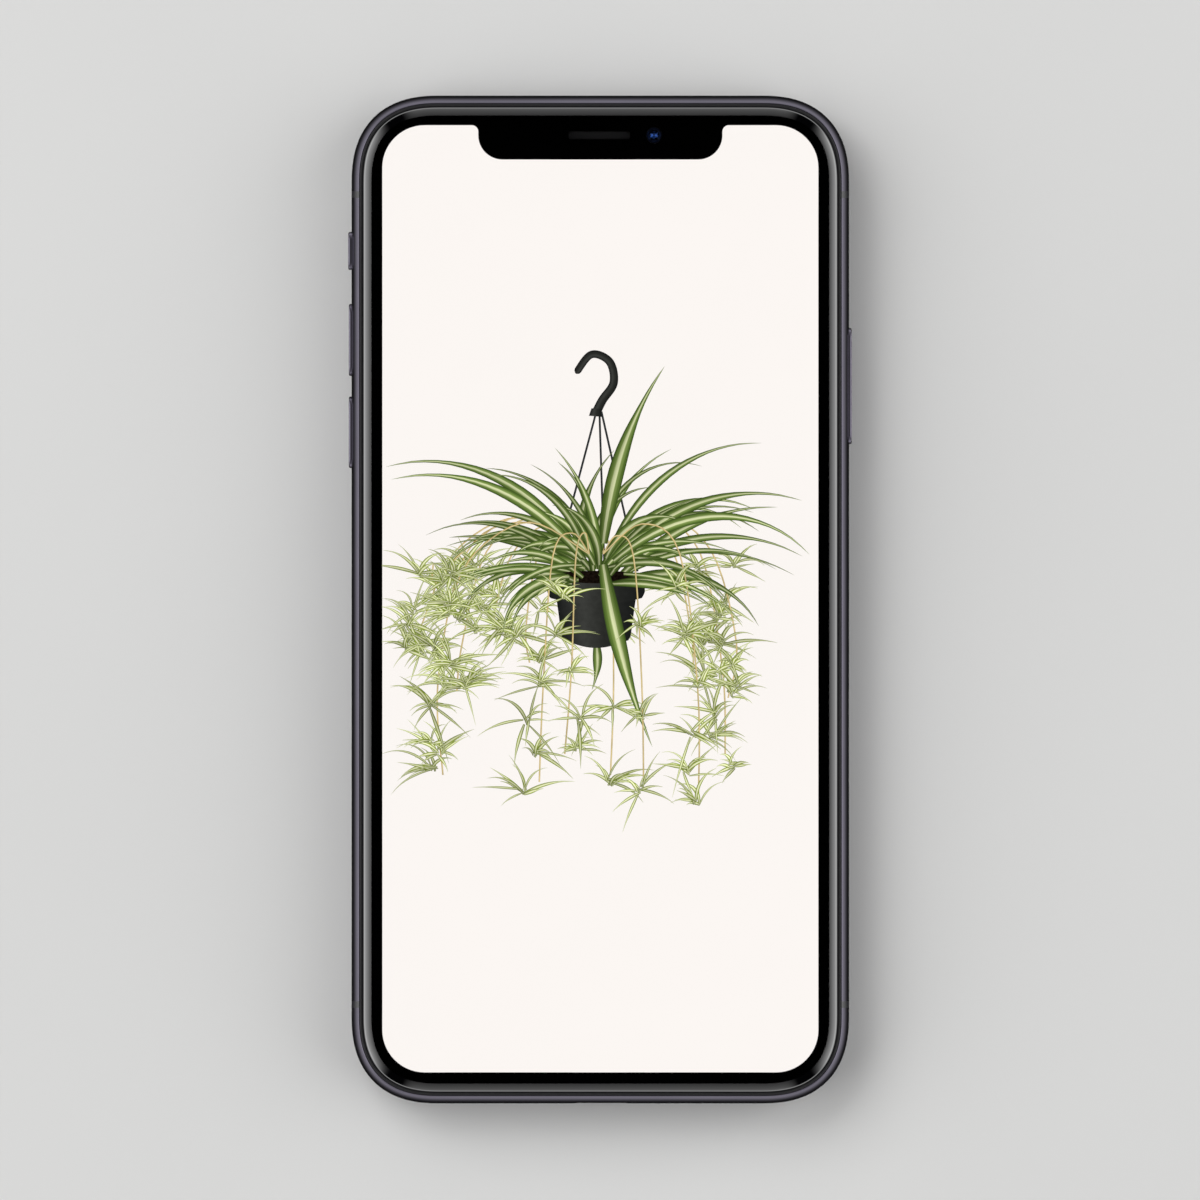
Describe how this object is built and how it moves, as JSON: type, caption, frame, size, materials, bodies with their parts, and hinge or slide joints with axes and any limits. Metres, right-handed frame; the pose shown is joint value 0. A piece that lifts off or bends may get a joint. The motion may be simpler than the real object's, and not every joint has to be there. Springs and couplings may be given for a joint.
{
  "type": "smartphone",
  "caption": "Slab smartphone with a round-cornered metal band, a notched lit screen, side keys, a mute switch and a SIM tray, lying on its back.",
  "frame": {"origin": "middle of the back glass's flat outer face", "axes": "+X to the right of the screen, +Y towards the earpiece, +Z out of the screen"},
  "size_m": [0.0717, 0.1436, 0.0089],
  "materials": {
    "band": "dark grey stainless steel, polished",
    "key": "dark grey stainless steel, polished",
    "break_plastic": "moulded, satin",
    "gasket": "matt black",
    "front_glass": "clear, polished, curved edge",
    "rear_glass": "opaque dark grey backing under polished glass",
    "camera_glass": "clear, polished",
    "screen": "lit display",
    "border": "black, satin",
    "sheet_steel": "stamped sheet",
    "aluminium": "machined",
    "mesh": "woven wire, blackened",
    "lens": "coated lens in a black barrel",
    "module": "moulded",
    "board": "solder resist",
    "pouch": "laminate pouch",
    "copper": "wound copper strip",
    "flex": "polyimide film",
    "diffuser": "translucent",
    "signal": "orange, satin"
  },
  "bodies": {
    "phone": {"frame_top": "band", "frame_bottom": "band", "frame_left": "band", "frame_right": "band", "antenna_break_upper_left": "break_plastic", "antenna_break_lower_left": "break_plastic", "antenna_break_upper_right": "break_plastic", "antenna_break_lower_right": "break_plastic", "front_gasket": "gasket", "rear_gasket": "gasket", "front_glass": "front_glass", "rear_glass": "rear_glass", "midplate": "aluminium", "display_carrier": "border", "display_panel": "screen", "display_shield": "sheet_steel", "earpiece_mesh": "mesh", "earpiece_speaker": "module", "front_camera": "lens", "depth_camera": "module", "dot_projector": "module", "camera_bezel": "band", "camera_cover": "camera_glass", "camera_plate": "border", "rear_camera_upper": "lens", "rear_camera_lower": "lens", "flash": "diffuser", "mute_base": "signal", "volume_flex": "flex", "side_flex": "flex", "sim_reader": "sheet_steel", "logic_board": "board", "board_shield": "sheet_steel", "battery_main": "pouch", "battery_lower": "pouch", "charging_coil": "copper", "haptic_motor": "sheet_steel", "loudspeaker": "module", "microphone": "module", "lower_board": "board", "port_shell": "sheet_steel", "port_tongue": "module", "end_screw_left": "sheet_steel", "end_screw_right": "sheet_steel"},
    "volume_up": {"volume_up_key": "key"},
    "volume_down": {"volume_down_key": "key"},
    "mute": {"mute_switch": "key"},
    "side": {"side_key": "key"},
    "tray": {"sim_tray": "key"}
  },
  "joints": [
    {"name": "volume_up_press", "type": "slide", "parent": "phone", "child": "volume_up", "axis": [1, 0, 0], "range_m": [0, 0.00025], "stiffness_N_per_m": 500},
    {"name": "volume_down_press", "type": "slide", "parent": "phone", "child": "volume_down", "axis": [1, 0, 0], "range_m": [0, 0.00025], "stiffness_N_per_m": 500},
    {"name": "side_key_press", "type": "slide", "parent": "phone", "child": "side", "axis": [-1, 0, 0], "range_m": [0, 0.00025], "stiffness_N_per_m": 500},
    {"name": "mute_slide", "type": "slide", "parent": "phone", "child": "mute", "axis": [0, 0, -1], "range_m": [0, 0.001]},
    {"name": "sim_tray_slide", "type": "slide", "parent": "phone", "child": "tray", "axis": [1, 0, 0], "range_m": [0, 0.016]}
  ]
}
